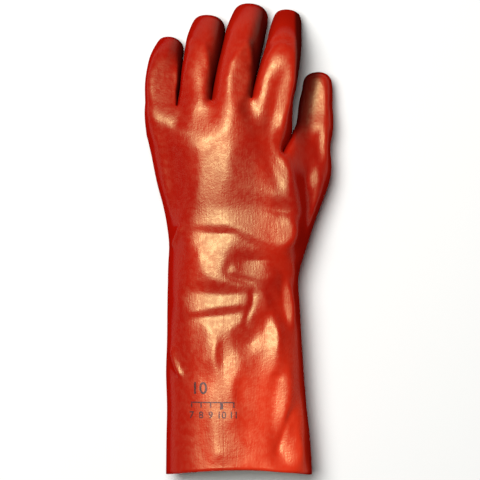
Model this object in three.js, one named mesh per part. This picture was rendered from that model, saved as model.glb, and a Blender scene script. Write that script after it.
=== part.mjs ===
// A dipped PVC gauntlet for the left hand, lying on its palm with the fingers curled down.
// Millimetres. +Z is up, +Y runs to the fingertips, +X to the thumb.
import * as THREE from "three";

// Sizes that can be set by themselves
const wall = 1.5; // the coated knit, the same all over
const cuffLength = 143; // corner of the rim to the narrowest part of the wrist
const handLength = 94.4; // wrist to the thumb crotch
const palmLength = 38; // thumb crotch to the finger crotches
const cuffWidth = 108.5; // at the rim
const wristWidth = 96;
const palmWidth = 110; // across the four knuckles
const cuffHeight = 54; // at the rim
const wristHeight = 56;
const knuckleHeight = 60; // the highest knuckle above the surface that the glove lies on
const pinkyReach = 50; // finger crotches to the fingertip, seen from above
const ringReach = 66.5;
const middleReach = 75.5;
const indexReach = 73;
const thumbReach = 62; // thumb crotch to the tip of the thumb, seen from above
const thumbWidth = 28;
const slit = 0.7; // gap between neighbouring fingers
const rimArch = 4.6; // how far the middle of the rim is cut back from its corners
const pressedFlat = 2.4; // how much of the round underside is pressed flat on the surface
const webStep = 3; // how far the skin between two fingers stands forward of the crotch seen from above

// Roundness of the cross-sections: 2 is an ellipse, more is squarer
const leftSquareness = 2.3; // little finger's side
const rightSquareness = 3;
const fingerSquareness = 2.25;
const knuckleSquareness = 2.8;

// Columns of the surface, over the top from the little finger's side to the thumb's
const fingerColumns = 4; // for each finger and for the thumb, and as many below
const fingerCount = 4;
const palmColumns = fingerCount * fingerColumns;
const topColumns = palmColumns + fingerColumns;
const cornerShare = 0.047; // how far in from its side the first column of a finger stands

// Rows of the surface along each stretch: from and to are places along the glove,
// -1 at the rim, 0 at the wrist, 1 at the thumb crotch and 2 at the finger crotches
const rowStretches = [
  { from: -1.0, to: -0.5, rows: 7 },
  { from: -0.5, to: 0.55, rows: 26 },
  { from: 0.55, to: 1.0, rows: 6 },
];
const palmRows = 6;
const fingerRows = 10;
const ringPoints = 2 * (fingerColumns + 2); // round a finger, with one at each side
const domeAngles = [27, 51, 71]; // rings of the round end, in degrees from its base
const domeFullness = 0.85; // 1 is a round end, less is blunter
const tipFaceShare = 0.6; // how far the last ring's corners are drawn in to the very tip
const foldSteps = 12; // points tried along a fold

// Where one form of the rows turns into the next, as places along the glove
const handStarts = 0.1; // the columns begin to follow the fingers and the thumb
const thumbArchStarts = 0.72; // the palm and the thumb begin to have arches of their own
const thumbArchEnds = 1.2;
const fingerArchStarts = 1.45; // so do the fingers
const fingerArchEnds = 2.05;
const fingerArchShare = 0.9; // how much of the height between two fingers their own arches take
const rimCutStarts = 0.7; // from there to the rim it is cut back in the middle

// Outline seen from above: left and right are shares of the local width, thumb is what the
// root of the thumb adds on the right, a share of the thumb's width
const outline = [
  { along: -1.0, left: -0.5, right: 0.503, thumb: 0 },
  { along: -0.82, left: -0.508, right: 0.499, thumb: 0 },
  { along: -0.65, left: -0.514, right: 0.484, thumb: 0 },
  { along: -0.47, left: -0.532, right: 0.474, thumb: 0 },
  { along: -0.3, left: -0.536, right: 0.468, thumb: 0 },
  { along: -0.12, left: -0.546, right: 0.464, thumb: 0 },
  { along: 0.0, left: -0.55, right: 0.459, thumb: 0 },
  { along: 0.13, left: -0.538, right: 0.463, thumb: 0.03 },
  { along: 0.29, left: -0.52, right: 0.456, thumb: 0.19 },
  { along: 0.45, left: -0.525, right: 0.444, thumb: 0.37 },
  { along: 0.6, left: -0.541, right: 0.424, thumb: 0.6 },
  { along: 0.76, left: -0.568, right: 0.392, thumb: 0.89 },
  { along: 0.89, left: -0.583, right: 0.365, thumb: 1.06 },
  { along: 1.0, left: -0.593, right: 0.348, thumb: 1.08 },
  { along: 1.2, left: -0.607, right: 0.353, thumb: 1.08 },
  { along: 1.5, left: -0.627, right: 0.36, thumb: 1.08 },
  { along: 1.85, left: -0.636, right: 0.363, thumb: 1.08 },
  { along: 2.0, left: -0.636, right: 0.364, thumb: 1.08 },
];

// Height of the top over each finger's line, over the thumb web and over the thumb: shares
// of the local height
const topHeights = [
  { along: -1.0, pinky: 0.97, ring: 1.0, middle: 1.0, index: 0.98, web: 0.96, thumb: 0.94 },
  { along: -0.5, pinky: 0.94, ring: 0.99, middle: 1.0, index: 0.98, web: 0.96, thumb: 0.93 },
  { along: 0.0, pinky: 0.91, ring: 0.99, middle: 1.0, index: 0.97, web: 0.95, thumb: 0.9 },
  { along: 0.4, pinky: 0.86, ring: 0.98, middle: 1.01, index: 0.97, web: 0.93, thumb: 0.78 },
  { along: 0.8, pinky: 0.82, ring: 0.98, middle: 0.99, index: 0.94, web: 0.92, thumb: 0.66 },
  { along: 1.0, pinky: 0.81, ring: 0.97, middle: 0.99, index: 0.95, web: 0.92, thumb: 0.62 },
  { along: 1.5, pinky: 0.8, ring: 0.94, middle: 0.98, index: 0.98, web: 0.93, thumb: 0.6 },
  { along: 2.0, pinky: 0.74, ring: 0.86, middle: 0.95, index: 0.99, web: 0.97, thumb: 0.6 },
];

// Height of the two sides, in the same way
const sideHeights = [
  { along: -1.0, left: 0.47, right: 0.48 },
  { along: -0.5, left: 0.48, right: 0.48 },
  { along: 0.0, left: 0.48, right: 0.47 },
  { along: 0.4, left: 0.46, right: 0.42 },
  { along: 0.8, left: 0.46, right: 0.36 },
  { along: 1.0, left: 0.46, right: 0.36 },
  { along: 1.5, left: 0.5, right: 0.6 },
  { along: 2.0, left: 0.57, right: 0.75 },
];

// Height of the underside, in the same way: it leaves the surface under the knuckles
const underHeights = [
  { along: -1.0, pinky: 0, middle: 0, index: 0, thumb: 0 },
  { along: 0.1, pinky: 0, middle: 0, index: 0, thumb: 0 },
  { along: 0.5, pinky: 0.04, middle: 0.06, index: 0.06, thumb: 0.02 },
  { along: 1.0, pinky: 0.14, middle: 0.2, index: 0.2, thumb: 0.07 },
  { along: 1.5, pinky: 0.27, middle: 0.36, index: 0.39, thumb: 0.07 },
  { along: 2.0, pinky: 0.42, middle: 0.53, index: 0.58, thumb: 0.07 },
];

// Folds on the top, as soft grooves, and puffs where depth is less than nothing. Each runs
// from one point past a second to a third, a point being how far it stands aside from the
// middle, a share of the wrist's width, and its place along the glove. Width and depth are
// shares of the wrist's height
const folds = [
  { from: [0.35, 2.01], past: [0.26, 1.46], to: [0.27, 1.07], width: 0.1, depth: -0.03 },
  { from: [0.27, 1.15], past: [0.32, 0.93], to: [0.41, 0.78], width: 0.1, depth: -0.03 },
  { from: [0.18, 1.6], past: [0.13, 0.96], to: [0.33, 0.73], width: 0.22, depth: 0.06 },
  { from: [0.35, 1.42], past: [0.33, 1.26], to: [0.33, 1.11], width: 0.08, depth: 0.025 },
  { from: [-0.13, 0.7], past: [0.15, 0.65], to: [0.41, 0.56], width: 0.11, depth: 0.04 },
  { from: [0.07, 0.51], past: [0.24, 0.46], to: [0.39, 0.37], width: 0.22, depth: -0.06 },
  { from: [-0.38, 0.4], past: [-0.11, 0.51], to: [0.18, 0.31], width: 0.09, depth: 0.03 },
  { from: [-0.38, 0.29], past: [-0.26, 0.26], to: [-0.11, 0.1], width: 0.2, depth: -0.03 },
  { from: [-0.01, 0.16], past: [0.21, 0.33], to: [0.39, 0.02], width: 0.09, depth: 0.04 },
  { from: [-0.05, 0.09], past: [0.15, 0.16], to: [0.26, 0.0], width: 0.09, depth: -0.025 },
  { from: [-0.09, 0.15], past: [-0.16, 0.04], to: [0.1, 0.01], width: 0.08, depth: 0.025 },
  { from: [0.18, 0.04], past: [0.35, -0.04], to: [0.38, -0.28], width: 0.11, depth: 0.045 },
  { from: [-0.49, -0.03], past: [-0.19, -0.04], to: [0.05, -0.03], width: 0.11, depth: 0.035 },
  { from: [-0.49, -0.11], past: [-0.21, -0.11], to: [0.05, -0.08], width: 0.09, depth: -0.02 },
  { from: [-0.41, -0.17], past: [-0.16, -0.17], to: [0.07, -0.12], width: 0.09, depth: 0.03 },
  { from: [-0.13, -0.21], past: [0.04, -0.36], to: [0.19, -0.21], width: 0.14, depth: 0.03 },
  { from: [0.13, -0.03], past: [0.21, -0.19], to: [0.26, -0.4], width: 0.15, depth: -0.03 },
  { from: [0.45, -0.63], past: [0.39, -0.78], to: [0.29, -0.91], width: 0.09, depth: 0.04 },
  { from: [0.1, -0.35], past: [0.09, -0.66], to: [0.13, -0.99], width: 0.25, depth: 0.03 },
  { from: [-0.46, -0.25], past: [-0.38, -0.4], to: [-0.41, -0.61], width: 0.18, depth: 0.02 },
];

// How far the line of the crotches stands forward of its middle at each column's place
// across the palm, a share of the palm's length
const crotchLine = [
  { across: 0, forward: -0.12 },
  { across: 0.25, forward: -0.1 },
  { across: 0.5, forward: 0 },
  { across: 0.75, forward: 0.037 },
  { across: 1, forward: 0.02 },
];

// Edges of the fingers beyond the crotches: shares of the palm's width from its left side,
// at shares of the middle finger's reach
const fingerEdges = [
  { along: 0, left: 0, pinkyRing: 0.223, ringMiddle: 0.453, middleIndex: 0.723, right: 1 },
  { along: 0.15, left: -0.002, pinkyRing: 0.238, ringMiddle: 0.468, middleIndex: 0.743, right: 1.024 },
  { along: 0.3, left: 0.008, pinkyRing: 0.247, ringMiddle: 0.488, middleIndex: 0.763, right: 1.038 },
  { along: 0.45, left: 0.026, pinkyRing: 0.258, ringMiddle: 0.512, middleIndex: 0.787, right: 1.052 },
  { along: 0.6, left: 0.045, pinkyRing: 0.268, ringMiddle: 0.532, middleIndex: 0.812, right: 1.06 },
  { along: 0.85, left: 0.07, pinkyRing: 0.28, ringMiddle: 0.552, middleIndex: 0.838, right: 1.062 },
];

// The four fingers: root is the height of the middle of the root and tip that of the middle
// of the tip, shares of the knuckle height; thick is half the thickness and dome the length
// of the round end, shares of half the width; roll turns the little finger's side down, and
// level is 1 for a finger that leaves the knuckle level and 0 for one that drops from there
const fingers = [
  {
    reach: pinkyReach, edges: ["left", "pinkyRing"], root: 0.57, tip: 0.17,
    thick: 0.92, dome: 0.75, roll: 10, level: 0.1,
  },
  {
    reach: ringReach, edges: ["pinkyRing", "ringMiddle"], root: 0.66, tip: 0.175,
    thick: 0.95, dome: 0.75, roll: 10, level: 0.1,
  },
  {
    reach: middleReach, edges: ["ringMiddle", "middleIndex"], root: 0.74, tip: 0.185,
    thick: 0.9, dome: 0.75, roll: 10, level: 0.2,
  },
  {
    reach: indexReach, edges: ["middleIndex", "right"], root: 0.77, tip: 0.185,
    thick: 0.86, dome: 0.8, roll: 6, level: 0.8,
  },
];

// Along a finger, from its root to the middle of its tip: bent and straight are how much of
// the way down it has come, and the other two how far the sides stand in, shares of its width
const fingerSections = [
  { along: 0, bent: 0, straight: 0, fromLeft: 0, fromRight: 0 },
  { along: 0.3, bent: 0.02, straight: 0.22, fromLeft: 0, fromRight: 0 },
  { along: 0.58, bent: 0.14, straight: 0.45, fromLeft: 0, fromRight: 0 },
  { along: 0.8, bent: 0.52, straight: 0.71, fromLeft: 0.02, fromRight: -0.01 },
  { along: 1, bent: 1, straight: 1, fromLeft: 0.13, fromRight: -0.01 },
];
const tipPlace = 0.85; // the middle of the tip, a share of the finger's reach
const rootStretch = 0.45; // share of a finger over which the root's shape turns into its own
const rollStretch = 0.4; // share of a finger over which it rolls
const lineStep = 0.02; // a finger's line is taken between points this far before and after

// The thumb from its crotch to the middle of its tip: clear is the gap to the index side and
// drop the way down, shares of its reach; wide is a share of its width
const thumbSections = [
  { along: 0, clear: 0.01, wide: 1.06, drop: 0 },
  { along: 0.25, clear: 0.042, wide: 0.97, drop: 0.035 },
  { along: 0.5, clear: 0.078, wide: 0.885, drop: 0.075 },
  { along: 0.75, clear: 0.094, wide: 0.81, drop: 0.115 },
  { along: 1, clear: 0.09, wide: 0.71, drop: 0.15 },
];
const thumb = { root: 0.36, thick: 0.88, dome: 0.9, roll: 26, tipPlace: 0.86 };

const mix = THREE.MathUtils.lerp;
const smooth = THREE.MathUtils.smoothstep;
const radians = THREE.MathUtils.degToRad;

// Smooth curve through one column of a table, at a place in another
function through(rows, column, place = "along") {
  const last = rows.length - 1;
  const slope = (i) => {
    const before = rows[Math.max(i - 1, 0)];
    const after = rows[Math.min(i + 1, last)];
    return (after[column] - before[column]) / (after[place] - before[place]);
  };
  return (at) => {
    if (at <= rows[0][place]) {
      return rows[0][column];
    }
    if (at >= rows[last][place]) {
      return rows[last][column];
    }
    const next = rows.findIndex((row) => row[place] > at);
    const a = rows[next - 1];
    const b = rows[next];
    const span = b[place] - a[place];
    const t = (at - a[place]) / span;
    const ease = t * t * (3 - 2 * t);
    const leave = t * (1 - t) * (1 - t) * span * slope(next - 1);
    const arrive = t * t * (1 - t) * span * slope(next);
    return mix(a[column], b[column], ease) + leave - arrive;
  };
}

function columnsOf(rows, names, place = "along") {
  return Object.fromEntries(names.map((name) => [name, through(rows, name, place)]));
}

const outlineAt = columnsOf(outline, ["left", "right", "thumb"]);
const topAt = columnsOf(topHeights, ["pinky", "ring", "middle", "index", "web", "thumb"]);
const sideAt = columnsOf(sideHeights, ["left", "right"]);
const underAt = columnsOf(underHeights, ["pinky", "middle", "index", "thumb"]);
const fingerAt = columnsOf(fingerSections, ["bent", "straight", "fromLeft", "fromRight"]);
const thumbAt = columnsOf(thumbSections, ["clear", "wide", "drop"]);
const forwardAt = through(crotchLine, "forward", "across");

// Places along the glove and the sizes there
function lengthAt(along) {
  if (along < 0) {
    return along * cuffLength;
  }
  return Math.min(along, 1) * handLength + Math.max(along - 1, 0) * palmLength;
}

function widthAt(along) {
  if (along < 0) {
    return mix(wristWidth, cuffWidth, -along);
  }
  return mix(wristWidth, palmWidth, Math.min(along, 1));
}

function heightAt(along) {
  if (along < 0) {
    return mix(wristHeight, cuffHeight, -along);
  }
  return mix(wristHeight, knuckleHeight, Math.min(along, 1));
}

function sidesAt(along) {
  const width = widthAt(along);
  const left = outlineAt.left(along) * width;
  const palmRight = outlineAt.right(along) * width;
  return { left, palmRight, right: palmRight + outlineAt.thumb(along) * thumbWidth };
}

// Height profile across: 0 at the sides, 1 in the middle
function arch(share, squareness) {
  return Math.pow(1 - Math.pow(Math.abs(2 * share - 1), squareness), 1 / squareness);
}

function sleeveArch(share) {
  return arch(share, share < 0.5 ? leftSquareness : rightSquareness);
}

function inside(share) {
  return mix(cornerShare, 1 - cornerShare, share);
}

// Where column k stands across the palm: its first and last columns stand in from the sides,
// and each finger's own columns lie between two crotches
const edgeNames = ["left", "pinkyRing", "ringMiddle", "middleIndex", "right"];
const edgeAt = columnsOf(fingerEdges, edgeNames);
const slitShares = edgeNames.map((name) => fingerEdges[0][name]);

function palmX(k, left, right, edge) {
  const places = slitShares.map((share) => mix(left, right, share));
  places[0] += edge;
  places[fingerCount] -= edge;
  const finger = Math.min(Math.floor(k / fingerColumns), fingerCount - 1);
  return mix(places[finger], places[finger + 1], k / fingerColumns - finger);
}

// Column over the middle of each finger and of the thumb
const lines = steps(fingerCount + 1).map((i) => (i + 0.5) * fingerColumns);
const [pinkyLine, ringLine, middleLine, indexLine, thumbLine] = lines;

function topHeight(k, along) {
  const stations = [
    { column: 0, height: topAt.pinky(along) },
    { column: pinkyLine, height: topAt.pinky(along) },
    { column: ringLine, height: topAt.ring(along) },
    { column: middleLine, height: topAt.middle(along) },
    { column: indexLine, height: topAt.index(along) },
    { column: palmColumns, height: topAt.web(along) },
    { column: thumbLine, height: topAt.thumb(along) },
    { column: topColumns, height: topAt.thumb(along) },
  ];
  return through(stations, "height", "column")(k) * heightAt(along);
}

function underHeight(k, along) {
  const stations = [
    { column: 0, height: underAt.pinky(along) },
    { column: pinkyLine, height: underAt.pinky(along) },
    { column: palmColumns / 2, height: underAt.middle(along) },
    { column: indexLine, height: underAt.index(along) },
    { column: thumbLine, height: underAt.thumb(along) },
    { column: topColumns, height: underAt.thumb(along) },
  ];
  return through(stations, "height", "column")(k) * heightAt(along);
}

// How far a column is raised between the side's height and the full height: the whole row is
// one arch up to the thumb's root, then the palm and the thumb have one each, and at the
// crotches each finger has its own
function raise(k, along, x, sides) {
  const whole = sleeveArch((x - sides.left) / (sides.right - sides.left));
  const onThumb = k > palmColumns;
  const part = onThumb ? (k - palmColumns) / fingerColumns : k / palmColumns;
  const split = smooth(along, thumbArchStarts, onThumb ? 1 : thumbArchEnds);
  const palm = mix(whole, sleeveArch(inside(part)), split);
  const own = arch(inside((k % fingerColumns) / fingerColumns), knuckleSquareness);
  return onThumb ? palm : mix(palm, own, fingerArchShare * smooth(along, fingerArchStarts, fingerArchEnds));
}

function pressed(point) {
  point.z = Math.max(point.z, 0);
  return point;
}

// Where column k stands across a row of the sleeve: as on a round tube from the rim to the
// wrist, and by the fingers and the thumb from there on
function columnX(k, along, sides) {
  const onTube = (1 - Math.cos((Math.PI * (k + 1)) / (topColumns + 2))) / 2;
  const tubeX = mix(sides.left, sides.right, onTube);
  const edge = cornerShare * widthAt(along) * mix(1, 0.5, smooth(along, 1, 2));
  const onHand = k <= palmColumns
    ? palmX(k, sides.left, sides.palmRight, edge)
    : mix(sides.palmRight - edge, sides.right - edge, (k - palmColumns) / fingerColumns);
  return mix(tubeX, onHand, smooth(along, handStarts, 1));
}

// Height that the folds take away at a point of the top
function foldDepth(x, y) {
  const place = ([aside, along]) => new THREE.Vector3(aside * wristWidth, lengthAt(along), 0);
  return folds.reduce((sum, fold) => {
    const line = new THREE.QuadraticBezierCurve3(place(fold.from), place(fold.past), place(fold.to));
    const near = steps(foldSteps + 1).map((i) => {
      const along = i / foldSteps;
      const fade = Math.sqrt(Math.sin(Math.PI * inside(along)));
      const far = line.getPoint(along).distanceTo(new THREE.Vector3(x, y, 0)) / (fold.width * wristHeight);
      return fade * Math.exp(-far * far);
    });
    return sum + Math.max(...near) * fold.depth * wristHeight;
  }, 0);
}

// A point of the sleeve, the wrist or the palm: side is 1 on top and -1 below
function sleevePoint(k, along, side) {
  const sides = sidesAt(along);
  const x = columnX(k, along, sides);
  const across = (x - sides.left) / (sides.right - sides.left);
  const sideHeight = mix(sideAt.left(along), sideAt.right(along), smooth(across, 0, 1)) * heightAt(along);
  const full = side > 0 ? topHeight(k, along) : underHeight(k, along) - pressedFlat;
  const raised = raise(k, along, x, sides);
  const y = lengthAt(along) + forward(k / palmColumns, along) + rimCut(across, along);
  const sunk = side > 0 ? foldDepth(x, y) * smooth(raised, 0.45, 0.85) : 0;
  return pressed(new THREE.Vector3(x, y, mix(sideHeight, full, raised) - sunk));
}

function sidePoint(along, atRight) {
  const sides = sidesAt(along);
  const beyondSplit = along > 1;
  const x = atRight ? (beyondSplit ? sides.palmRight : sides.right) : sides.left;
  const z = (atRight ? sideAt.right(along) : sideAt.left(along)) * heightAt(along);
  return new THREE.Vector3(x, lengthAt(along) + forward(atRight ? 1 : 0, along), z);
}

function forward(across, along) {
  return Math.max(along - 1, 0) * forwardAt(Math.min(across, 1)) * palmLength;
}

// The rim is cut back in the middle, above and below
function rimCut(across, along) {
  const middle = 1 - Math.pow(Math.abs(2 * across - 1), 2);
  return rimArch * middle * smooth(-along, rimCutStarts, 1);
}

// The surface is built from rings of points, joined by faces with four corners
const points = [];
const faces = [];

function addPoint(point) {
  return points.push(point) - 1;
}

function joinRings(ring, next) {
  ring.forEach((a, i) => {
    const j = (i + 1) % ring.length;
    faces.push([a, ring[j], next[j], next[i]]);
  });
}

function steps(count) {
  return Array.from({ length: count }, (_, i) => i);
}

// A ring of the sleeve or the palm: left side, over the top, right side, back below
function sleeveRing(along, columns) {
  const top = steps(columns + 1).map((k) => addPoint(sleevePoint(k, along, 1)));
  const under = steps(columns + 1).map((k) => addPoint(sleevePoint(k, along, -1)));
  const left = addPoint(sidePoint(along, false));
  const right = addPoint(sidePoint(along, true));
  return { top, under, left, right };
}

function loop({ top, under, left, right }) {
  return [left, ...top, right, ...under.slice().reverse()];
}

// Part of a ring, with its own points at the two sides
function piece(ring, from, to, left, right) {
  return { top: ring.top.slice(from, to + 1), under: ring.under.slice(from, to + 1), left, right };
}

// The middle of a crotch, between its point above and its point below
function crotch(ring, k) {
  const middle = points[ring.top[k]].clone().lerp(points[ring.under[k]], 0.5);
  middle.y += webStep;
  return addPoint(middle);
}

// A finger or thumb, as rings square to its own line
function growFinger(root, centreAt, halfWidthAt, form) {
  const ends = steps(fingerRows + 1).map((i) => i / fingerRows);
  const frameAt = (along) => {
    const ahead = centreAt(Math.min(along + lineStep, 1));
    const line = ahead.sub(centreAt(Math.max(along - lineStep, 0))).normalize();
    const across = new THREE.Vector3(line.y, -line.x, 0).normalize();
    const turn = -radians(form.roll) * smooth(along, 0, rollStretch);
    across.applyAxisAngle(line, turn);
    return { line, across, up: across.clone().cross(line) };
  };
  const ringAt = (centre, frame, halfWidth) => {
    const halfAcross = halfWidth / frame.across.x;
    const halfThick = halfWidth * form.thick;
    return steps(ringPoints).map((i) => {
      const angle = Math.PI * (1 - (2 * i) / ringPoints);
      const c = Math.cos(angle);
      const s = Math.sin(angle);
      const power = 2 / fingerSquareness;
      const point = centre.clone();
      point.addScaledVector(frame.across, Math.sign(c) * Math.pow(Math.abs(c), power) * halfAcross);
      point.addScaledVector(frame.up, Math.sign(s) * Math.pow(Math.abs(s), power) * halfThick);
      return addPoint(pressed(point));
    });
  };
  let ring = loop(root);
  const rootShape = ring.map((i) => points[i].clone().sub(centreAt(0)));
  const rootHalf = halfWidthAt(0) + slit / 2;
  ends.slice(1).forEach((along) => {
    const centre = centreAt(along);
    const next = ringAt(centre, frameAt(along), halfWidthAt(along));
    const own = smooth(along, 0, rootStretch);
    next.forEach((id, i) => {
      const offset = rootShape[i].clone();
      offset.x *= halfWidthAt(along) / rootHalf;
      pressed(points[id].lerp(offset.add(centre), 1 - own));
    });
    joinRings(ring, next);
    ring = next;
  });
  const frame = frameAt(1);
  const end = centreAt(1);
  const halfWidth = halfWidthAt(1);
  const dome = halfWidth * form.dome;
  domeAngles.forEach((degrees) => {
    const centre = end.clone().addScaledVector(frame.line, dome * Math.sin(radians(degrees)));
    const next = ringAt(centre, frame, halfWidth * Math.pow(Math.cos(radians(degrees)), domeFullness));
    joinRings(ring, next);
    ring = next;
  });
  closeTip(ring, end.clone().addScaledVector(frame.line, dome));
}

// The last ring is closed by three by three faces round the very tip
function closeTip(ring, tip) {
  const corners = steps(4).map((i) => 1 + (i * ringPoints) / 4);
  const inner = corners.map((i) => addPoint(pressed(points[ring[i]].clone().lerp(tip, tipFaceShare))));
  corners.forEach((corner, i) => {
    const next = (i + 1) % corners.length;
    const before = ring[corner - 1];
    const after = [ring[corner + 1], ring[(corner + 2) % ringPoints]];
    faces.push([before, ring[corner], after[0], inner[i]]);
    faces.push([inner[i], after[0], after[1], inner[next]]);
  });
  faces.push(inner);
}

// Sleeve, wrist and the root of the thumb
const places = [rowStretches[0].from];
rowStretches.forEach(({ from, to, rows }) => {
  steps(rows).forEach((i) => places.push(mix(from, to, (i + 1) / rows)));
});
const rings = places.map((along) => sleeveRing(along, topColumns));
rings.slice(1).forEach((ring, i) => joinRings(loop(rings[i]), loop(ring)));
const rim = loop(rings[0]);

// The thumb leaves the palm
const last = rings.at(-1);
const thumbCrotch = crotch(last, palmColumns);
let palm = piece(last, 0, palmColumns, last.left, thumbCrotch);
const thumbRoot = piece(last, palmColumns, topColumns, thumbCrotch, last.right);

// The palm up to the crotches
steps(palmRows).forEach((i) => {
  const next = sleeveRing(1 + (i + 1) / palmRows, palmColumns);
  joinRings(loop(palm), loop(next));
  palm = next;
});

// The fingers
const crotches = steps(fingerCount - 1).map((i) => crotch(palm, (i + 1) * fingerColumns));
const fingerSides = [palm.left, ...crotches, palm.right];
const crotchesAt = lengthAt(2);
const palmLeft = sidesAt(2).left;

function edgeX(name, y) {
  return palmLeft + edgeAt[name]((y - crotchesAt) / middleReach) * palmWidth;
}

fingers.forEach((finger, i) => {
  const shareAcross = (i + 0.5) / fingerCount;
  const rootY = crotchesAt + forwardAt(shareAcross) * palmLength;
  const length = crotchesAt + finger.reach - rootY;
  const stripAt = (along) => {
    const y = rootY + along * tipPlace * length;
    const left = edgeX(finger.edges[0], y) + slit / 2;
    const right = edgeX(finger.edges[1], y) - slit / 2;
    const inLeft = fingerAt.fromLeft(along) * (right - left);
    const inRight = fingerAt.fromRight(along) * (right - left);
    return { y, left: left + inLeft, right: right - inRight };
  };
  const centreAt = (along) => {
    const strip = stripAt(along);
    const drop = mix(fingerAt.straight(along), fingerAt.bent(along), finger.level);
    const z = mix(finger.root, finger.tip, drop) * knuckleHeight;
    return new THREE.Vector3((strip.left + strip.right) / 2, strip.y, z);
  };
  const halfWidthAt = (along) => {
    const strip = stripAt(along);
    return (strip.right - strip.left) / 2;
  };
  const from = i * fingerColumns;
  const root = piece(palm, from, from + fingerColumns, fingerSides[i], fingerSides[i + 1]);
  growFinger(root, centreAt, halfWidthAt, finger);
});

// The thumb
const thumbStart = lengthAt(1);

function indexSide(y) {
  if (y < crotchesAt) {
    return sidesAt(1 + (y - thumbStart) / palmLength).palmRight;
  }
  return edgeX("right", y);
}

const thumbCentre = (along) => {
  const y = thumbStart + along * thumb.tipPlace * thumbReach;
  const left = indexSide(y) + thumbAt.clear(along) * thumbReach;
  const x = left + thumbAt.wide(along) * thumbWidth / 2;
  return new THREE.Vector3(x, y, thumb.root * knuckleHeight - thumbAt.drop(along) * thumbReach);
};
growFinger(thumbRoot, thumbCentre, (along) => thumbAt.wide(along) * thumbWidth / 2, thumb);

// The inner skin stands in from the outer one by the wall, square to it
function outwardAt() {
  const normals = points.map(() => new THREE.Vector3());
  faces.forEach((face) => {
    const [a, b, c, d] = face.map((i) => points[i]);
    const normal = c.clone().sub(a).cross(d.clone().sub(b));
    face.forEach((i) => normals[i].add(normal));
  });
  rim.forEach((i) => normals[i].setY(0));
  return normals.map((normal) => normal.normalize());
}

function shellGeometry() {
  const outward = outwardAt();
  const inner = points.map((point, i) => point.clone().addScaledVector(outward[i], -wall));
  const all = [...points, ...inner];
  const innerStart = points.length;
  const triangles = [];
  const addFace = ([a, b, c, d], offset, flipped) => {
    const shortFirst = points[a].distanceTo(points[c]) <= points[b].distanceTo(points[d]);
    const pair = shortFirst ? [[a, b, c], [a, c, d]] : [[a, b, d], [b, c, d]];
    pair.forEach(([p, q, r]) => {
      const corners = flipped ? [p, r, q] : [p, q, r];
      triangles.push(...corners.map((i) => i + offset));
    });
  };
  faces.forEach((face) => {
    addFace(face, 0, false);
    addFace(face, innerStart, true);
  });
  rim.forEach((a, i) => {
    const b = rim[(i + 1) % rim.length];
    triangles.push(a, a + innerStart, b, b, a + innerStart, b + innerStart);
  });
  const geometry = new THREE.BufferGeometry();
  geometry.setAttribute("position", new THREE.Float32BufferAttribute(all.flatMap((p) => p.toArray()), 3));
  geometry.setIndex(triangles);
  geometry.computeVertexNormals();
  return geometry;
}

// The glove stands in the middle of its own box, on the surface that it lies on
const geometry = shellGeometry();
geometry.computeBoundingBox();
const { min, max } = geometry.boundingBox;
geometry.translate(-(min.x + max.x) / 2, -(min.y + max.y) / 2, -min.z);

const redPvc = new THREE.MeshStandardMaterial({ color: 0xb92a14, roughness: 0.32, metalness: 0 });
const shell = new THREE.Mesh(geometry, redPvc);
shell.name = "glove_shell";

const glove = new THREE.Group();
glove.add(shell);

export default glove;
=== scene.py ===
import math

import bmesh
import bpy
import numpy as np
from mathutils import Matrix, Vector
from mathutils.bvhtree import BVHTree


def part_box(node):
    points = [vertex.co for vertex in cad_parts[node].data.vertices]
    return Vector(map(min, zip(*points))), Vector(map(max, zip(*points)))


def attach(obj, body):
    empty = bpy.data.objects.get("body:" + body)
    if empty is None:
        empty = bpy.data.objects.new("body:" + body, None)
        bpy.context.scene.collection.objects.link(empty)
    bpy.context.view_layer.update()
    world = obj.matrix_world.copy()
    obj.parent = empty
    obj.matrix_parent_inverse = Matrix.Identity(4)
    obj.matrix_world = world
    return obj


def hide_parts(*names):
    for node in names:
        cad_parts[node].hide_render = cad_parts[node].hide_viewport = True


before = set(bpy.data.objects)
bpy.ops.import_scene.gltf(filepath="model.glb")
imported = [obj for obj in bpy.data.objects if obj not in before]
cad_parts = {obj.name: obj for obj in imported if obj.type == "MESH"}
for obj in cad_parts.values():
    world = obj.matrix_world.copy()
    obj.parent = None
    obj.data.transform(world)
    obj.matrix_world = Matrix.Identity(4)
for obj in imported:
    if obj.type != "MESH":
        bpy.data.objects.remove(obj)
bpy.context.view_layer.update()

mm = 0.001
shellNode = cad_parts["glove_shell"]
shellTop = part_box("glove_shell")[1][2]


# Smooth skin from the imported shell

skin = {
    "wall": 1.5 * mm,          # coated knit
    "levels": 2,               # subdivision of the outer skin
    "fitRounds": 4,            # rounds that bring the smooth skin back out to the shell's own points
    "rimSearch": 12 * mm,      # the cut edge lies this close to the open end
    "rimFacing": -0.8,         # and faces out of it at least so squarely
    "samePoint": 0.01 * mm,
    "flatPair": math.radians(60),
}


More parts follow.
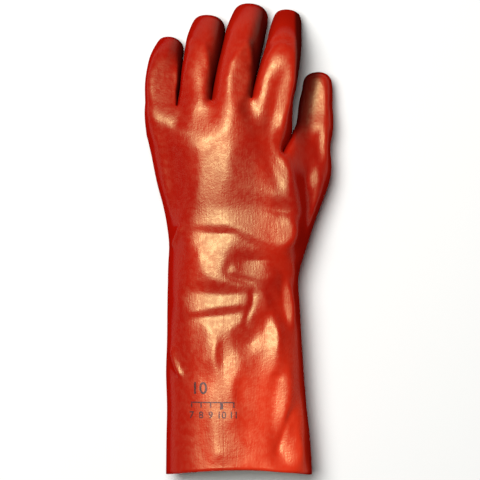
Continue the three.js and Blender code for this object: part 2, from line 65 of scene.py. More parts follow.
def outerSkin():
    # outer faces of the shell, as four-sided faces
    source = bmesh.new()
    source.from_mesh(shellNode.data)
    bmesh.ops.remove_doubles(source, verts=source.verts, dist=skin["samePoint"])
    source.normal_update()
    openEnd = min(v.co.y for v in source.verts)
    cutEdge = [f for f in source.faces
               if f.calc_center_median().y < openEnd + skin["rimSearch"] and f.normal.y < skin["rimFacing"]]
    bmesh.ops.delete(source, geom=cutEdge, context="FACES_ONLY")
    islands = facesInIslands(source)
    islands.sort(key=lambda faces: sum(f.calc_area() for f in faces))
    inner = [f for faces in islands[:-1] for f in faces]
    bmesh.ops.delete(source, geom=inner, context="FACES")
    loose = [v for v in source.verts if not v.link_faces]
    bmesh.ops.delete(source, geom=loose, context="VERTS")
    bmesh.ops.join_triangles(source, faces=source.faces, angle_face_threshold=skin["flatPair"],
                             angle_shape_threshold=skin["flatPair"])
    mesh = bpy.data.meshes.new("glove_skin")
    source.to_mesh(mesh)
    source.free()
    return mesh


def facesInIslands(source):
    seen, islands = set(), []
    for first in source.faces:
        if first in seen:
            continue
        seen.add(first)
        island, front = [], [first]
        while front:
            face = front.pop()
            island.append(face)
            for edge in face.edges:
                for other in edge.link_faces:
                    if other not in seen:
                        seen.add(other)
                        front.append(other)
        islands.append(island)
    return islands


def coordinates(mesh):
    flat = np.empty(len(mesh.vertices) * 3)
    mesh.vertices.foreach_get("co", flat)
    return flat.reshape(-1, 3)


def setCoordinates(mesh, places):
    mesh.vertices.foreach_set("co", places.ravel())
    mesh.update()


def vertexNormals(mesh):
    flat = np.empty(len(mesh.vertices) * 3)
    mesh.vertex_normals.foreach_get("vector", flat)
    return flat.reshape(-1, 3)


def smoothed(cage):
    # the cage subdivided, its first points being the cage's own
    holder = bpy.data.objects.new("cage", cage)
    bpy.context.scene.collection.objects.link(holder)
    subsurf = holder.modifiers.new("smooth", "SUBSURF")
    subsurf.levels = skin["levels"]
    subsurf.boundary_smooth = "ALL"
    depsgraph = bpy.context.evaluated_depsgraph_get()
    mesh = bpy.data.meshes.new_from_object(holder.evaluated_get(depsgraph))
    bpy.data.objects.remove(holder)
    return mesh


def fittedSkin():
    cage = outerSkin()
    target = coordinates(cage)
    places = target.copy()
    for _ in range(skin["fitRounds"]):
        mesh = smoothed(cage)
        places += target - coordinates(mesh)[:len(target)]
        setCoordinates(cage, places)
        bpy.data.meshes.remove(mesh)
    return smoothed(cage)


# Roots of the fingers and the thumb run smoothly into the back, and the wrist is smoothed before
# its flats are laid. Places and reaches here and below are in millimetres from the glove's
# middle, x to the thumb and y to the fingertips

roots = [
    {"at": (-5, 98), "reach": (66, 20), "rounds": 24},
    {"at": (42, 62), "reach": (16, 16), "rounds": 16},
    {"at": (-2, -20), "reach": (64, 68), "rounds": 44},
]

rootBlend = {
    "strength": 0.6,           # share of the way to the neighbours' middle in each round
    "edge": 1.15,              # where the smoothing ends, in a root's own reaches
    "fade": 0.5,
    "slantFrom": -0.1,         # the skin's upward slant where smoothing begins
    "slantFull": 0.5,
}


def smoothRoots(mesh):
    places = coordinates(mesh)
    edges = np.empty(len(mesh.edges) * 2, int)
    mesh.edges.foreach_get("vertices", edges)
    first, second = edges.reshape(-1, 2).T
    count = np.bincount(edges, minlength=len(places))[:, None]
    upward = ease(vertexNormals(mesh)[:, 2], rootBlend["slantFrom"], rootBlend["slantFull"])
    for root in roots:
        away = np.hypot((places[:, 0] / mm - root["at"][0]) / root["reach"][0],
                        (places[:, 1] / mm - root["at"][1]) / root["reach"][1])
        strength = rootBlend["strength"] * ease(rootBlend["edge"] - away, 0, rootBlend["fade"]) * upward
        for _ in range(root["rounds"]):
            around = np.zeros_like(places)
            np.add.at(around, first, places[second])
            np.add.at(around, second, places[first])
            places += (around / count - places) * strength[:, None]
    setCoordinates(mesh, places)


def ease(value, low, high):
    share = np.clip((value - low) / (high - low), 0, 1)
    return share * share * (3 - 2 * share)


# Folds, creases and dents of the top. A rise under nothing is a groove

folds = [
    # wrist, from the hand down
    {"points": [(-5, -17), (-8, -22), (-7, -28), (5, -31), (16, -35)], "width": 3, "rise": -0.7},
    {"points": [(16, -35), (25, -42), (30, -53), (33, -66)], "width": 3.6, "rise": -0.6},
    {"points": [(6, -36), (10, -42), (9, -50), (6, -58), (5, -68)], "width": 1.7, "rise": -0.8},
    # cuff
    {"points": [(25, -101), (31, -103)], "width": 1.8, "rise": -0.6},
    {"points": [(41, -124), (36, -135), (31, -148), (27, -162)], "width": 2.2, "rise": -1.0},
    {"points": [(-51, -79), (-48, -92), (-42, -105)], "width": 2.2, "rise": 1.5},
    {"points": [(-43, 9), (-47, 1), (-51, -8)], "width": 2.4, "rise": 1.5},
    # fingers
    {"points": [(-8, 126), (0, 138), (7, 147)], "width": 2.4, "rise": 0.9},
    {"points": [(7, 147), (9, 137), (10, 126)], "width": 2.4, "rise": 0.9},
    {"points": [(17, 135), (24, 144), (34, 147), (42, 142)], "width": 2.4, "rise": -0.7},
    {"points": [(-40, 142), (-34, 148), (-30, 138)], "width": 2, "rise": 0.6},
    {"points": [(-28, 148), (-24, 135), (-22, 122)], "width": 2.4, "rise": 0.6},
]

dents = [
    {"at": (31, 71), "reach": (4, 8), "turn": 0, "rise": -0.9},
    {"at": (7, 97), "reach": (7, 7), "turn": 0, "rise": -0.7},
    {"at": (-21, 94), "reach": (5, 8), "turn": 0, "rise": -0.7},
    {"at": (-45, 94), "reach": (4, 6), "turn": 0, "rise": -0.6},
    {"at": (4, -70), "reach": (12, 14), "turn": 0, "rise": -0.8},
]

# Slack flats of the sheet. Each has a slope of its own, across and along, or lies near the one
# that the lit flats share

flats = [
    # back of the hand
    {"at": (-20, 42), "reach": (8, 33), "turn": -14, "share": 0.9, "slope": (0.12, -0.1)},
    {"at": (10, 42), "reach": (13, 24), "turn": 10, "share": 0.9, "slope": (-0.14, 0.1)},
    {"at": (-21, 86), "reach": (12, 11), "turn": 0, "share": 0.8, "slope": (0.42, -0.2)},
    {"at": (-53, 110), "reach": (11, 22), "turn": -5, "share": 0.9, "slope": (0.1, -0.45)},
    {"at": (0, 118), "reach": (7, 14), "turn": -12, "share": 0.7, "slope": (-0.25, -0.05)},
    {"at": (-43, 91), "reach": (4, 4), "turn": 0, "share": 0.5},
    {"at": (32, 102), "reach": (6, 22), "turn": -12, "share": 0.9, "slope": (0.14, -0.11)},
    {"at": (27, 73), "reach": (4.5, 16), "turn": 4, "share": 0.9},
    {"at": (32, 53), "reach": (3.6, 12), "turn": 27, "share": 0.9},
    {"at": (24, 27), "reach": (18, 5), "turn": -15, "share": 0.95, "slope": (-0.08, 0.28)},
    # wrist
    {"at": (-30, 10), "reach": (14, 12), "turn": 0, "share": 0.5},
    {"at": (-32, -46), "reach": (12, 8), "turn": 0, "share": 0.6},
    {"at": (-20, 16), "reach": (14, 7), "turn": 0, "share": 0.7},
    {"at": (-17, 6.5), "reach": (17, 3.2), "turn": -3, "share": 0.95, "slope": (0.0, 0.3)},
    {"at": (6, 0), "reach": (11, 3.4), "turn": -28, "share": 0.95, "slope": (-0.05, 0.33)},
    {"at": (16, 10), "reach": (24, 9), "turn": -22, "share": 0.95, "slope": (0.24, -0.16)},
    {"at": (33, 5), "reach": (9, 10), "turn": 0, "share": 0.7, "slope": (0.3, -0.16)},
    {"at": (-23, -3), "reach": (15, 4.5), "turn": -3, "share": 0.85},
    {"at": (-20, -17), "reach": (8, 11), "turn": 24, "share": 0.85},
    {"at": (-14, -28), "reach": (7, 4.5), "turn": -20, "share": 0.6},
    {"at": (15, -12.5), "reach": (15, 3.8), "turn": 2, "share": 0.95, "slope": (0.0, 0.3)},
    {"at": (33, -20), "reach": (9, 4.5), "turn": -35, "share": 0.95, "slope": (-0.1, 0.3)},
    {"at": (13, -24.5), "reach": (13, 5), "turn": -16, "share": 0.8, "slope": (0.2, -0.17)},
    {"at": (-18, -37), "reach": (20, 4.8), "turn": -4, "share": 0.8, "slope": (0.0, 0.3)},
    {"at": (-18, -47.5), "reach": (27, 2.8), "turn": 4, "share": 0.75},
    {"at": (-18, -54.5), "reach": (20, 3.4), "turn": 8, "share": 0.85, "slope": (0.0, 0.3)},
    {"at": (-10, -62), "reach": (14, 4.5), "turn": 12, "share": 0.75},
    {"at": (3, -71), "reach": (8, 8), "turn": 0, "share": 0.95, "slope": (-0.2, 0.16)},
    {"at": (-29, -76), "reach": (8, 14), "turn": 0, "share": 0.8, "slope": (0.4, 0.05)},
    {"at": (27, -47), "reach": (3.6, 15), "turn": 14, "share": 0.95, "slope": (-0.35, 0.12)},
    {"at": (36, -48), "reach": (4, 15), "turn": 8, "share": 0.95, "slope": (0.17, -0.1)},
    {"at": (15, -46), "reach": (5, 9), "turn": 14, "share": 0.9},
    {"at": (24, -70), "reach": (5, 15), "turn": 6, "share": 0.95, "slope": (0.16, -0.12)},
    # cuff
    {"at": (-22, -80), "reach": (3.4, 12), "turn": -15, "share": 0.95, "slope": (0.16, -0.12)},
    {"at": (-15, -86), "reach": (3.4, 9), "turn": 0, "share": 0.9, "slope": (-0.3, 0.1)},
    {"at": (-8, -82), "reach": (4, 13), "turn": 18, "share": 0.9},
    {"at": (-6, -94), "reach": (7, 9), "turn": 10, "share": 0.85},
    {"at": (-12.5, -110), "reach": (7, 10), "turn": 0, "share": 0.9},
    {"at": (-12, -128), "reach": (7, 10), "turn": 0, "share": 0.9},
    {"at": (-9, -148), "reach": (10, 11), "turn": 0, "share": 0.9},
    {"at": (1, -162), "reach": (10, 9), "turn": 0, "share": 0.9},
    {"at": (-1, -112), "reach": (4, 9), "turn": 0, "share": 0.9, "slope": (-0.3, 0.06)},
    {"at": (-22, -99), "reach": (6, 9), "turn": 0, "share": 0.9, "slope": (0.35, 0.1)},
    {"at": (-24, -148), "reach": (7, 14), "turn": 0, "share": 0.8, "slope": (0.35, 0.05)},
    {"at": (1, -138), "reach": (5, 7), "turn": 30, "share": 0.9, "slope": (-0.2, 0.16)},
    {"at": (-13, -165), "reach": (7, 6), "turn": 0, "share": 0.9, "slope": (0.1, 0.22)},
    {"at": (12, -122), "reach": (9, 30), "turn": 0, "share": 0.85, "slope": (-0.09, 0.05)},
    {"at": (22, -92), "reach": (7, 9), "turn": 0, "share": 0.85},
    {"at": (31, -116), "reach": (6, 20), "turn": -6, "share": 0.6, "slope": (0.14, -0.09)},
    {"at": (31, -145), "reach": (6, 18), "turn": 12, "share": 0.6, "slope": (0.14, -0.09)},
    {"at": (40, -157), "reach": (7, 12), "turn": 0, "share": 0.6, "slope": (0.25, -0.1)},
    # thumb
    {"at": (61, 102), "reach": (3.5, 14), "turn": 0, "share": 0.95, "slope": (0.13, -0.1)},
    {"at": (62, 69), "reach": (3.5, 12), "turn": 0, "share": 0.95, "slope": (0.13, -0.1)},
    {"at": (55, 43), "reach": (4.5, 6), "turn": 0, "share": 0.9},
]

# Flanks drawn in, so that light falls between the fingers

slim = [
    {"at": (15, 143), "reach": (7, 22), "turn": -12, "rise": -1.3},
    {"at": (-46, 138), "reach": (6, 14), "turn": -12, "rise": -0.8},
]

relief = {
    "flatSlope": (0.115, -0.102),
    "flatSlack": 0.07,         # how far off that slope a flat may stay
    "cell": 1.25,              # the sheet's grid, in millimetres
    "gridReach": (75, 178),    # from the middle, across and along
    "looksUp": 0.3,            # upward slant of the skin that the flats can move
    "slackReach": 18.0,        # how far a flat is felt, in millimetres
    "slackRounds": 120,        # rounds in which the sheet settles
    "haste": 1.8,              # over 1 it settles sooner
    "pulls": 3,
    "steps": 6,                # points between two of a fold's own
    "fadeEnds": 0.22,          # share of a fold over which it fades at each end
    "topFrom": 0.15,           # the skin's upward slant where folds begin to show
    "topFull": 0.55,
}


def curveThrough(points):
    # smooth line through the points, and how far along it each of its own points is
    before = 2 * np.array(points[0]) - points[1]
    after = 2 * np.array(points[-1]) - points[-2]
    ends = [before, *map(np.array, points), after]
    line = []
    for i in range(1, len(ends) - 2):
        a, b, c, d = (np.array(p, float) for p in ends[i - 1:i + 3])
        for t in np.arange(relief["steps"]) / relief["steps"]:
            line.append(0.5 * (2 * b + (c - a) * t + (2 * a - 5 * b + 4 * c - d) * t ** 2
                               + (3 * b - a - 3 * c + d) * t ** 3))
    line.append(np.array(points[-1], float))
    return np.array(line), np.linspace(0, 1, len(line))


def foldRise(fold, across, along):
    line, share = curveThrough(fold["points"])
    rise = np.zeros_like(across)
    for (a, b), (s, t) in zip(zip(line, line[1:]), zip(share, share[1:])):
        span = b - a
        step = np.clip(((across - a[0]) * span[0] + (along - a[1]) * span[1]) / (span @ span), 0, 1)
        away = np.hypot(across - a[0] - step * span[0], along - a[1] - step * span[1])
        place = s + (t - s) * step
        fade = ease(np.minimum(place, 1 - place), -0.02, relief["fadeEnds"])
        rise = np.maximum(rise, fade * np.exp(-(away / fold["width"]) ** 2))
    return rise * fold["rise"]


def dentRise(dent, across, along):
    return dent["rise"] * np.exp(-spread(dent, across, along) ** 1.5)


def spread(row, across, along):
    # distance from the row's middle in its own reaches, squared
    turn = math.radians(row["turn"])
    x = across - row["at"][0]
    y = along - row["at"][1]
    u = (x * math.cos(turn) + y * math.sin(turn)) / row["reach"][0]
    v = (y * math.cos(turn) - x * math.sin(turn)) / row["reach"][1]
    return u * u + v * v


def seenFromAbove(mesh, xs, ys):
    # height of the skin over each place of the grid, and where there is skin that looks up
    skinTree = BVHTree.FromPolygons([v.co for v in mesh.vertices], [p.vertices for p in mesh.polygons])
    height = np.zeros((len(ys), len(xs)))
    there = np.zeros((len(ys), len(xs)), bool)
    down = Vector((0, 0, -1))
    for j, y in enumerate(ys):
        for i, x in enumerate(xs):
            place, normal = skinTree.ray_cast(Vector((x * mm, y * mm, 1)), down)[:2]
            if place:
                height[j, i] = place.z / mm
                there[j, i] = normal.z > relief["looksUp"]
    core = there.copy()
    for axis in (0, 1):
        for way in (-1, 1):
            core &= np.roll(there, way, axis)
    return height, core


def pulledSlopes(height, there, across, along):
    # how much each place of the sheet has to turn, across and along, to lie as its flats do
    slopeY, slopeX = np.gradient(height, relief["cell"])
    turnX, turnY, total = np.zeros_like(height), np.zeros_like(height), np.zeros_like(height)
    for flat in flats:
        weight = flat["share"] * np.exp(-spread(flat, across, along) ** 2) * there
        if "slope" in flat:
            slope = flat["slope"]
        else:
            own = np.array([np.average(slopeX, weights=weight), np.average(slopeY, weights=weight)])
            off = own - relief["flatSlope"]
            slope = relief["flatSlope"] + off * min(1, relief["flatSlack"] / (np.hypot(*off) + 1e-9))
        turnX += weight * (slope[0] - slopeX)
        turnY += weight * (slope[1] - slopeY)
        total += weight
    return turnX / np.maximum(1, total), turnY / np.maximum(1, total)


def layFlats(mesh):
    # the sheet takes each flat's slope as nearly as it can and stays whole between them
    cell = relief["cell"]
    xs, ys = (np.arange(-reach, reach + 0.1, cell) for reach in relief["gridReach"])
    across, along = np.meshgrid(xs, ys)
    height, there = seenFromAbove(mesh, xs, ys)
    stiff = 4 + (cell / relief["slackReach"]) ** 2
    odd = np.add.outer(np.arange(len(ys)), np.arange(len(xs))) % 2 == 1
    halves = (there & odd, there & ~odd)
    lift = np.zeros_like(height)
    for _ in range(relief["pulls"]):
        turnX, turnY = pulledSlopes(height + lift, there, across, along)
        spring = np.gradient(turnX, cell, axis=1) + np.gradient(turnY, cell, axis=0)
        rise = np.zeros_like(height)
        for _ in range(relief["slackRounds"]):
            for half in halves:
                around = sum(np.roll(rise, way, axis) for axis in (0, 1) for way in (-1, 1))
                rise += half * relief["haste"] * ((around - cell ** 2 * spring) / stiff - rise)
        lift += rise

    places, normals = coordinates(mesh), vertexNormals(mesh)
    column = np.clip((places[:, 0] / mm - xs[0]) / cell, 0, len(xs) - 1.001)
    row = np.clip((places[:, 1] / mm - ys[0]) / cell, 0, len(ys) - 1.001)
    i, j = column.astype(int), row.astype(int)
    u, v = column - i, row - j
    raised = ((lift[j, i] * (1 - u) + lift[j, i + 1] * u) * (1 - v)
              + (lift[j + 1, i] * (1 - u) + lift[j + 1, i + 1] * u) * v)
    places[:, 2] += raised * ease(normals[:, 2], relief["topFrom"], relief["topFull"]) * mm
    setCoordinates(mesh, places)


def foldSkin(mesh):
    places, normals = coordinates(mesh), vertexNormals(mesh)
    across, along = places[:, 0] / mm, places[:, 1] / mm
    rise = sum(foldRise(fold, across, along) for fold in folds)
    rise += sum(dentRise(dent, across, along) for dent in dents)
    rise *= ease(normals[:, 2], relief["topFrom"], relief["topFull"])
    rise += sum(dentRise(dent, across, along) for dent in slim)
    setCoordinates(mesh, places + normals * (rise * mm)[:, None])


def shellObject(mesh):
    # the wall grows inward, and its inner face takes the second material
    piece = bpy.data.objects.new("coated_glove", mesh)
    bpy.context.scene.collection.objects.link(piece)
    wall = piece.modifiers.new("wall", "SOLIDIFY")
    wall.thickness = skin["wall"]
    wall.offset = -1
    wall.use_even_offset = False
    wall.use_rim = True
    wall.material_offset = 1
    depsgraph = bpy.context.evaluated_depsgraph_get()
    solid = bpy.data.meshes.new_from_object(piece.evaluated_get(depsgraph))
    piece.modifiers.clear()
    piece.data = solid
    solid.polygons.foreach_set("use_smooth", [True] * len(solid.polygons))
    return piece


# Red PVC outside, knitted cotton inside. A pair after "From" is where a share goes from none to all

pvc = {
    "deep": (0.34, 0.005, 0.002),
    "red": (0.47, 0.012, 0.003),
    "orange": (0.70, 0.032, 0.009),
    "streaks": 26.0,           # for each metre, as all noises here
    "streakShape": (1, 0.35, 1),
    "patches": 11.0,
    "redFrom": (0.85, 1.2),    # of the sum of streaks and patches
    "cuffFrom": (-40 * mm, -110 * mm),  # the cuff is more orange than the hand
    # painted shade on the down-turned flanks and on the little finger's side
    "flank": (0.32, 0.006, 0.002),
    "flankShadeFrom": (0.3, 0.97),  # of the upward slant
    "side": (0.34, 0.004, 0.001),
    "sideShadeFrom": (-27 * mm, -43 * mm),
    "sideShadeShare": 0.85,
    "grain": 700.0,
    "ripple": 420.0,
    "threads": (900.0, 130.0, 200.0),
    "bumpDepth": 0.12 * mm,
    "bumpShares": {"grain": 0.8, "ripple": 0.4, "threads": 0.6, "seams": 0.4},
    "roughness": (0.29, 0.40),
    "smears": 240.0,
    "smearFrom": (0.35, 0.65),
    "refraction": 1.5,
    "gloss": (0.8, 0.0),       # seen straight on, and edge on
    "glossFrom": (0.14, 0.46),
    "tint": (1.0, 0.98, 0.5),
}

# Painted shade: near-black colour on the finger flanks that face a neighbour and on the thumb's flank
# beside the hand
paintedGapShade = {
    "colour": (0.045, 0.003, 0.002),
    "share": 0.88,
    "fingersFrom": (70 * mm, 96 * mm),
    "facingFrom": (0.0, 0.75),  # a finger's flank that faces its neighbour
    "shortOf": (24 * mm, 18 * mm),  # the index finger's outer flank gets no painted shade
    "thumbFrom": (40 * mm, 43 * mm),
    "thumbLean": 0.18,         # the thumb's dark flank leans so much
    "thumbEdge": (43 * mm, 34 * mm),
    "thumbAlong": (62 * mm, 88 * mm),
}

knitSeams = {
    "places": (-12 * mm, -2 * mm),
    "waves": 18.0,
    "wander": 1.5 * mm,
    "half": 0.45 * mm,         # half a line's width
    "breaks": 70.0,
    "breakFrom": (0.4, 0.6),
    "endFrom": (55 * mm, 45 * mm),
    "backFrom": (30 * mm, 40 * mm),  # of the height
    "share": 0.35,
}

pinholes = {
    "spacing": 25.0,           # for each metre
    "reach": 0.014,            # share of their spacing
    "share": 0.6,
    "colour": (0.10, 0.004, 0.002),
}


class Finish:
    # a material with the few node patterns that the glove needs
    def __init__(self, name):
        self.material = bpy.data.materials.new(name)
        self.material.use_nodes = True
        self.tree = self.material.node_tree
        self.shader = self.tree.nodes["Principled BSDF"]
        self.place = self.tree.nodes.new("ShaderNodeTexCoord").outputs["Object"]
        split = self.tree.nodes.new("ShaderNodeSeparateXYZ")
        self.tree.links.new(self.place, split.inputs["Vector"])
        self.x, self.y, self.z = split.outputs

    def stretched(self, x, y, z):
        mapping = self.tree.nodes.new("ShaderNodeMapping")
        mapping.inputs["Scale"].default_value = (x, y, z)
        self.tree.links.new(self.place, mapping.inputs["Vector"])
        return mapping.outputs["Vector"]

    def noise(self, scale, detail=2.0, place=None):
        texture = self.tree.nodes.new("ShaderNodeTexNoise")
        texture.inputs["Scale"].default_value = scale
        texture.inputs["Detail"].default_value = detail
        self.tree.links.new(place or self.place, texture.inputs["Vector"])
        return texture.outputs["Fac"]

    def dots(self, scale):
        texture = self.tree.nodes.new("ShaderNodeTexVoronoi")
        texture.inputs["Scale"].default_value = scale
        self.tree.links.new(self.place, texture.inputs["Vector"])
        return texture.outputs["Distance"]

    def ribs(self, scale, waviness):
        texture = self.tree.nodes.new("ShaderNodeTexWave")
        texture.inputs["Scale"].default_value = scale / 2 / math.pi
        texture.inputs["Distortion"].default_value = waviness
        self.tree.links.new(self.place, texture.inputs["Vector"])
        return texture.outputs["Fac"]

    def edgeOn(self):
        return self.tree.nodes.new("ShaderNodeLayerWeight").outputs["Facing"]

    def normal(self, axis):
        texture = self.tree.nodes.new("ShaderNodeTexCoord")
        split = self.tree.nodes.new("ShaderNodeSeparateXYZ")
        self.tree.links.new(texture.outputs["Normal"], split.inputs["Vector"])
        return split.outputs[axis]

    def pair(self, first, how, second):
        maths = self.tree.nodes.new("ShaderNodeMath")
        maths.operation = how
        for socket, value in zip(maths.inputs, (first, second)):
            if isinstance(value, (int, float)):
                socket.default_value = value
            else:
                self.tree.links.new(value, socket)
        return maths.outputs["Value"]

    def times(self, first, *others):
        for other in others:
            first = self.pair(first, "MULTIPLY", other)
        return first

    def between(self, value, low, high, start=0.0, end=1.0):
        ramp = self.tree.nodes.new("ShaderNodeMapRange")
        ramp.interpolation_type = "SMOOTHSTEP"
        for name, number in (("From Min", low), ("From Max", high), ("To Min", start), ("To Max", end)):
            ramp.inputs[name].default_value = number
        self.tree.links.new(value, ramp.inputs["Value"])
        return ramp.outputs["Result"]

    def blend(self, share, first, second):
        mix = self.tree.nodes.new("ShaderNodeMix")
        mix.data_type = "RGBA"
        self.tree.links.new(share, mix.inputs["Factor"])
        for name, colour in (("A", first), ("B", second)):
            socket = next(i for i in mix.inputs if i.name == name and i.type == "RGBA")
            if isinstance(colour, tuple):
                socket.default_value = (*colour, 1)
            else:
                self.tree.links.new(colour, socket)
        return next(o for o in mix.outputs if o.type == "RGBA")

    def bump(self, height, distance, strength, before=None):
        node = self.tree.nodes.new("ShaderNodeBump")
        node.inputs["Strength"].default_value = strength
        node.inputs["Distance"].default_value = distance
        self.tree.links.new(height, node.inputs["Height"])
        if before:
            self.tree.links.new(before, node.inputs["Normal"])
        return node.outputs["Normal"]

    def set(self, name, value):
        socket = self.shader.inputs[name]
        if isinstance(value, bpy.types.NodeSocket):
            self.tree.links.new(value, socket)
        else:
            socket.default_value = (*value, 1) if isinstance(value, tuple) else value


def pvcMaterial():
    finish = Finish("red_pvc")
    streaks = finish.noise(pvc["streaks"], 3, finish.stretched(*pvc["streakShape"]))
    uneven = finish.pair(streaks, "ADD", finish.noise(pvc["patches"]))
    patches = finish.between(uneven, *pvc["redFrom"])
    hand = finish.blend(patches, pvc["deep"], pvc["red"])
    cuff = finish.blend(patches, pvc["red"], pvc["orange"])
    colour = finish.blend(finish.between(finish.y, *pvc["cuffFrom"]), hand, cuff)

    # painted shade: the colour darkens round the flanks where the skin turns down, and down the little
    # finger's side
    colour = finish.blend(finish.between(finish.normal("Z"), *pvc["flankShadeFrom"]), pvc["flank"], colour)
    side = finish.times(finish.between(finish.x, *pvc["sideShadeFrom"]), pvc["sideShadeShare"])
    colour = finish.blend(side, colour, pvc["side"])
    # painted shade between the fingers and on the thumb's flank beside the hand
    colour = finish.blend(finish.times(paintedGapShadeIn(finish), paintedGapShade["share"]), colour, paintedGapShade["colour"])

    seams = seamsIn(finish)
    colour = finish.blend(finish.times(seams, knitSeams["share"]), colour, pvc["deep"])
    holes = finish.between(finish.dots(pinholes["spacing"]), 0.0, pinholes["reach"], 1.0, 0.0)
    colour = finish.blend(finish.times(holes, pinholes["share"]), colour, pinholes["colour"])
    finish.set("Base Color", colour)

    threads = finish.noise(1, 2, finish.stretched(*pvc["threads"]))
    heights = {"grain": finish.noise(pvc["grain"]), "ripple": finish.noise(pvc["ripple"]),
               "threads": threads, "seams": finish.times(seams, -1)}
    normal = None
    for name, height in heights.items():
        normal = finish.bump(height, pvc["bumpDepth"], pvc["bumpShares"][name], normal)
    finish.set("Normal", normal)
    smears = finish.noise(pvc["smears"])
    finish.set("Roughness", finish.between(smears, *pvc["smearFrom"], *pvc["roughness"]))
    finish.set("Specular IOR Level", finish.between(finish.edgeOn(), *pvc["glossFrom"], *pvc["gloss"]))
    finish.set("Specular Tint", pvc["tint"])
    finish.set("IOR", pvc["refraction"])
    return finish.material


def paintedGapShadeIn(finish):
    # painted shade where a finger faces its neighbour, and on the thumb's flank that faces them
    facing = finish.between(finish.normal("X"), *paintedGapShade["facingFrom"])
    fingers = finish.times(facing, finish.between(finish.x, *paintedGapShade["shortOf"]),
                           finish.between(finish.y, *paintedGapShade["fingersFrom"]))
    leaning = finish.pair(finish.x, "SUBTRACT", finish.times(finish.y, paintedGapShade["thumbLean"]))
    thumb = finish.times(finish.between(leaning, *paintedGapShade["thumbEdge"]),
                         finish.between(finish.x, *paintedGapShade["thumbFrom"]),
                         finish.between(finish.y, *paintedGapShade["thumbAlong"]))
    return finish.pair(fingers, "MAXIMUM", thumb)


def seamsIn(finish):
    # seam of the knit, showing through as two faint lines down the back
    wander = finish.between(finish.noise(knitSeams["waves"], 1), 0.2, 0.8,
                            -knitSeams["wander"], knitSeams["wander"])
    across = finish.pair(wander, "ADD", finish.x)
    lines = []
    for place in knitSeams["places"]:
        away = finish.pair(across, "SUBTRACT", place)
        lines.append(finish.between(finish.times(away, away), 0.0, knitSeams["half"] ** 2, 1.0, 0.0))
    return finish.times(finish.pair(lines[0], "MAXIMUM", lines[1]),
                        finish.between(finish.y, *knitSeams["endFrom"]),
                        finish.between(finish.z, *knitSeams["backFrom"]),
                        finish.between(finish.noise(knitSeams["breaks"], 1), *knitSeams["breakFrom"]))


lining = {
    "pale": (0.74, 0.66, 0.50),
    "shade": (0.52, 0.42, 0.28),
    "wear": 30.0,
    "wornFrom": (0.35, 0.7),
    "ribs": 700.0,             # knitted ribs for each metre
    "ribWaviness": 1.5,
    "ribDepth": 0.3 * mm,
    "roughness": 0.9,
}


def liningMaterial():
    finish = Finish("knit_lining")
    ribs = finish.ribs(lining["ribs"], lining["ribWaviness"])
    worn = finish.between(finish.noise(lining["wear"], 3), *lining["wornFrom"])
    finish.set("Base Color", finish.blend(worn, lining["pale"], lining["shade"]))
    finish.set("Normal", finish.bump(ribs, lining["ribDepth"], 0.8))
    finish.set("Roughness", lining["roughness"])
    return finish.material


# Plain size numbers on the cuff with a scale of short lines

sizePrint = {
    "ink": (0.030, 0.010, 0.010),
    "wear": 1400.0,            # thin spots for each metre
    "roughness": 0.45,
    "proud": 0.16,             # millimetres over the skin
    "typeSize": 1.35,          # for each millimetre of a figure's height
    "typeWeight": 0.02,
    "longest": 1.0,            # edges over this are halved, so that the print follows the skin
    "halvings": 3,
}

figures = [
    {"text": "10", "at": (-29.5, -111), "height": 9.0},
    {"text": "7", "at": (-35, -130.5), "height": 5.2},
    {"text": "8", "at": (-28, -130.5), "height": 5.2},
    {"text": "9", "at": (-21, -130.5), "height": 5.2},
    {"text": "10", "at": (-13, -130.5), "height": 5.2},
    {"text": "11", "at": (-4, -130.5), "height": 5.2},
]

bars = [
    {"at": (-19.5, -121), "size": (32, 0.9)},
    {"at": (-35, -123.2), "size": (1.0, 3.4)},
    {"at": (-28, -123.2), "size": (1.0, 3.4)},
    {"at": (-21, -123.2), "size": (1.0, 3.4)},
    {"at": (-13, -123.8), "size": (2.2, 4.6)},
    {"at": (-4, -123.2), "size": (1.0, 3.4)},
]


def addFigures(mesh, row):
    curve = bpy.data.curves.new("figures", "FONT")
    curve.body = row["text"]
    curve.size = row["height"] * sizePrint["typeSize"]
    curve.offset = row["height"] * sizePrint["typeWeight"]
    curve.align_x = "CENTER"
    curve.align_y = "CENTER"
    holder = bpy.data.objects.new("figures", curve)
    bpy.context.scene.collection.objects.link(holder)
    depsgraph = bpy.context.evaluated_depsgraph_get()
    flat = bpy.data.meshes.new_from_object(holder.evaluated_get(depsgraph))
    bpy.data.objects.remove(holder)
    flat.transform(Matrix.Translation((*row["at"], 0)))
    mesh.from_mesh(flat)


def addBar(mesh, row):
    steps = max(1, round(row["size"][0] / 2))
    upper, lower = [], []
    for i in range(steps + 1):
        x = row["at"][0] + row["size"][0] * (i / steps - 0.5)
        upper.append(mesh.verts.new((x, row["at"][1] + row["size"][1] / 2, 0)))
        lower.append(mesh.verts.new((x, row["at"][1] - row["size"][1] / 2, 0)))
    for i in range(steps):
        mesh.faces.new((lower[i], lower[i + 1], upper[i + 1], upper[i]))


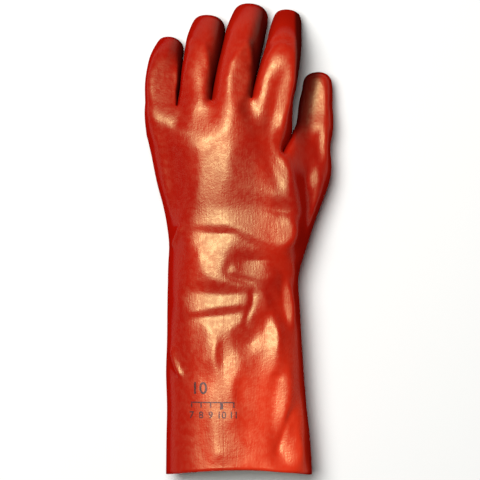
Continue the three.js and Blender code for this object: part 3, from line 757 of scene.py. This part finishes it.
def printOnSkin(outer):
    mesh = bmesh.new()
    for row in figures:
        addFigures(mesh, row)
    for row in bars:
        addBar(mesh, row)
    bmesh.ops.triangulate(mesh, faces=mesh.faces)
    for _ in range(sizePrint["halvings"]):
        long = [e for e in mesh.edges if e.calc_length() > sizePrint["longest"]]
        bmesh.ops.subdivide_edges(mesh, edges=long, cuts=1)
        bmesh.ops.triangulate(mesh, faces=mesh.faces)
    skinTree = BVHTree.FromPolygons([v.co for v in outer.vertices], [p.vertices for p in outer.polygons])
    for vert in mesh.verts:
        over = Vector((vert.co.x * mm, vert.co.y * mm, 1))
        hit = skinTree.ray_cast(over, Vector((0, 0, -1)))
        vert.co = hit[0] + hit[1] * sizePrint["proud"] * mm
    data = bpy.data.meshes.new("size_print")
    mesh.to_mesh(data)
    mesh.free()
    finish = Finish("print_ink")
    worn = finish.between(finish.noise(sizePrint["wear"], 1), 0.3, 0.5)
    finish.set("Base Color", finish.blend(worn, pvc["deep"], sizePrint["ink"]))
    finish.set("Roughness", sizePrint["roughness"])
    data.materials.append(finish.material)
    piece = bpy.data.objects.new("size_print", data)
    bpy.context.scene.collection.objects.link(piece)
    return piece


# Stage: pale floor, one large soft light above the fingertips' end, camera straight above

stage = {
    "floorSize": 3.0,
    "floorDrop": 0.05 * mm,    # keeps the floor off the glove's lowest faces
    "floorColour": (0.83, 0.86, 0.90),
    "floorRoughness": 0.8,
    "cameraHeight": 2.3,
    "filmWidth": 36,
    "pixelSize": 0.743 * mm,   # on the object, in the picture of 480 points
    "pictureSide": 480,
    "viewCentre": (0.6 * mm, -1.5 * mm),
    "softboxSide": 1.2,
    "softboxPlace": (-0.52, 0.46, 2.2),
    "softboxPower": 74,
    "softboxColour": (1.0, 0.965, 0.9),
    "roomLight": 0.02,
}


def makeStage():
    side = stage["floorSize"] / 2
    mesh = bpy.data.meshes.new("floor")
    corners = [(-side, -side, 0), (side, -side, 0), (side, side, 0), (-side, side, 0)]
    mesh.from_pydata(corners, [], [(0, 1, 2, 3)])
    floor = bpy.data.objects.new("floor", mesh)
    floor.location.z = -stage["floorDrop"]
    bpy.context.scene.collection.objects.link(floor)
    material = bpy.data.materials.new("pale_floor")
    material.use_nodes = True
    shader = material.node_tree.nodes["Principled BSDF"]
    shader.inputs["Base Color"].default_value = (*stage["floorColour"], 1)
    shader.inputs["Roughness"].default_value = stage["floorRoughness"]
    mesh.materials.append(material)

    camera = bpy.data.objects.new("camera", bpy.data.cameras.new("camera"))
    camera.location = (*stage["viewCentre"], stage["cameraHeight"])
    camera.data.sensor_width = stage["filmWidth"]
    picture = stage["pictureSide"] * stage["pixelSize"]
    camera.data.lens = stage["filmWidth"] * (stage["cameraHeight"] - shellTop / 2) / picture
    bpy.context.scene.collection.objects.link(camera)
    bpy.context.scene.camera = camera

    softbox = bpy.data.objects.new("softbox", bpy.data.lights.new("softbox", "AREA"))
    softbox.data.shape = "SQUARE"
    softbox.data.size = stage["softboxSide"]
    softbox.data.energy = stage["softboxPower"]
    softbox.data.color = stage["softboxColour"]
    softbox.location = stage["softboxPlace"]
    softbox.rotation_euler = (-softbox.location).to_track_quat("-Z", "Y").to_euler()
    bpy.context.scene.collection.objects.link(softbox)

    world = bpy.data.worlds.new("room")
    world.use_nodes = True
    background = world.node_tree.nodes["Background"]
    background.inputs["Color"].default_value = (1, 1, 1, 1)
    background.inputs["Strength"].default_value = stage["roomLight"]
    bpy.context.scene.world = world
    bpy.context.scene.view_settings.view_transform = "Standard"


print("skin")
outer = fittedSkin()
smoothRoots(outer)
print("folds")
layFlats(outer)
foldSkin(outer)
outer.materials.clear()
outer.materials.append(pvcMaterial())
outer.materials.append(liningMaterial())
printed = printOnSkin(outer)
glove = shellObject(outer)
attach(glove, "root")
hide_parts("glove_shell")
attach(printed, "root")
print("faces", len(glove.data.polygons))

print("stage")
makeStage()
